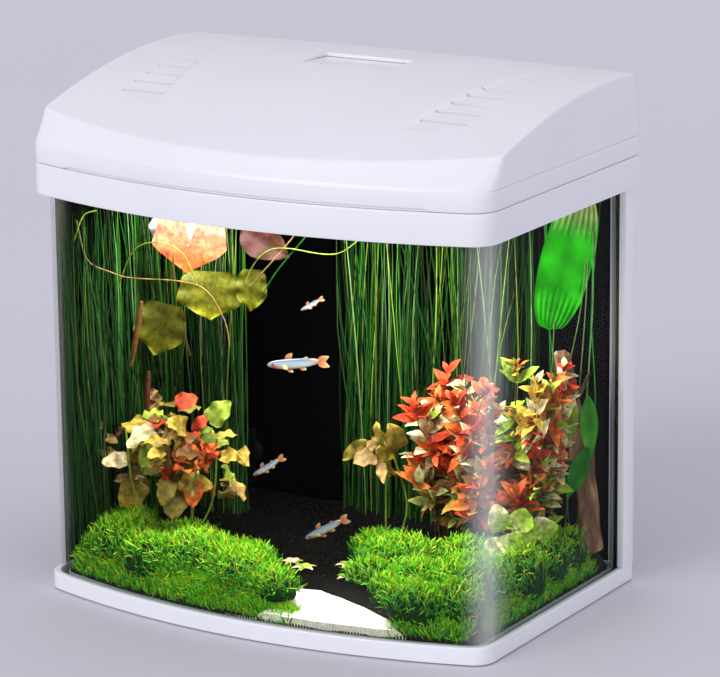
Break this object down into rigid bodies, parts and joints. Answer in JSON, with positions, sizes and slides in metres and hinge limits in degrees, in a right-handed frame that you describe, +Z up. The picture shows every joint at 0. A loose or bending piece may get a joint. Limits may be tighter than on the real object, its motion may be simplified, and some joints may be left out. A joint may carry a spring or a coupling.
{
  "type": "hooded glass aquarium",
  "caption": "Free-standing bow-front glass aquarium with a white hinged hood, lamp, sliding feeding hatch, filter pump and a planted aquascape.",
  "frame": {"origin": "middle of the footprint, on the plane that the feet rest on", "axes": "+X to the viewer's right, +Y towards the rear, +Z up"},
  "size_m": [0.38, 0.261, 0.3909],
  "materials": {
    "white_plastic": "smooth glossy moulding",
    "black_plastic": "fine satin moulding",
    "rubber": "matt",
    "glass": "clear polished float glass, greenish edges",
    "clear_cover": "clear moulded cover",
    "silicone": "translucent satin bead",
    "black_film": "matt black background film",
    "steel": "bright turned steel",
    "circuit_board": "white solder mask with lamp chips",
    "sponge": "open-cell filter foam",
    "soil": "loose dark granules",
    "sand": "fine pale sand",
    "moss": "fine upright fronds",
    "grass": "long thin blades",
    "red_leaf": "small red, orange and cream leaves",
    "yellow_leaf": "thin veined leaves",
    "green_leaf": "smooth broad leaf with a midrib",
    "driftwood": "rough dark bark"
  },
  "bodies": {
    "tank": {"base_frame": "white_plastic", "foot_pad_1": "rubber", "foot_pad_2": "rubber", "foot_pad_3": "rubber", "foot_pad_4": "rubber", "front_glass": "glass", "rear_glass": "glass", "bottom_glass": "glass", "seam_bottom": "silicone", "seam_rear_left": "silicone", "seam_rear_right": "silicone", "rear_post_left": "white_plastic", "rear_post_right": "white_plastic", "backdrop_rear": "black_film", "backdrop_left": "black_film", "top_frame": "white_plastic", "hinge_lug_left": "white_plastic", "hinge_lug_right": "white_plastic", "hinge_pin_left": "steel", "hinge_pin_right": "steel", "pump_body": "black_plastic", "pump_cover": "black_plastic", "impeller_shaft": "steel", "suction_cup_left": "rubber", "suction_cup_right": "rubber", "riser_pipe": "black_plastic", "filter_tray": "black_plastic", "filter_sponge": "sponge", "soil_bed": "soil", "sand_bed": "sand", "grass_left": "grass", "grass_rear_left": "grass", "grass_rear_right": "grass", "moss_left_front": "moss", "moss_left": "moss", "moss_right_front": "moss", "moss_right": "moss", "stem_plants": "red_leaf", "lily_left": "yellow_leaf", "lily_right": "yellow_leaf", "floating_leaves": "yellow_leaf", "broad_leaf": "green_leaf", "driftwood": "driftwood"},
    "hood": {"lid": "white_plastic", "lamp_housing": "white_plastic", "led_board": "circuit_board", "lamp_lens": "clear_cover", "lamp_screw_1": "steel", "lamp_screw_2": "steel", "lamp_screw_3": "steel", "lamp_screw_4": "steel", "hatch_rail_left": "white_plastic", "hatch_rail_right": "white_plastic", "switch_bezel": "black_plastic"},
    "hatch": {"feed_hatch": "white_plastic"},
    "rocker": {"light_switch": "black_plastic"},
    "rotor": {"impeller": "black_plastic"},
    "dial": {"flow_dial": "black_plastic"}
  },
  "joints": [
    {"name": "lid_hinge", "type": "hinge", "parent": "tank", "child": "hood", "pos_m": [0, 0.1275, 0.329], "axis": [-1, 0, 0], "range_deg": [0, 95]},
    {"name": "hatch_slide", "type": "slide", "parent": "hood", "child": "hatch", "axis": [0, 0.9996, -0.03], "range_m": [0, 0.031]},
    {"name": "switch_rock", "type": "hinge", "parent": "hood", "child": "rocker", "pos_m": [-0.15, 0.1262, 0.352], "axis": [1, 0, 0], "range_deg": [0, 12]},
    {"name": "impeller_spin", "type": "hinge", "parent": "tank", "child": "rotor", "pos_m": [-0.15, 0.08, 0.06], "axis": [0, 1, 0], "continuous": true},
    {"name": "dial_turn", "type": "hinge", "parent": "tank", "child": "dial", "pos_m": [-0.1365, 0.0697, 0.0735], "axis": [0, 1, 0], "range_deg": [0, 90]}
  ]
}
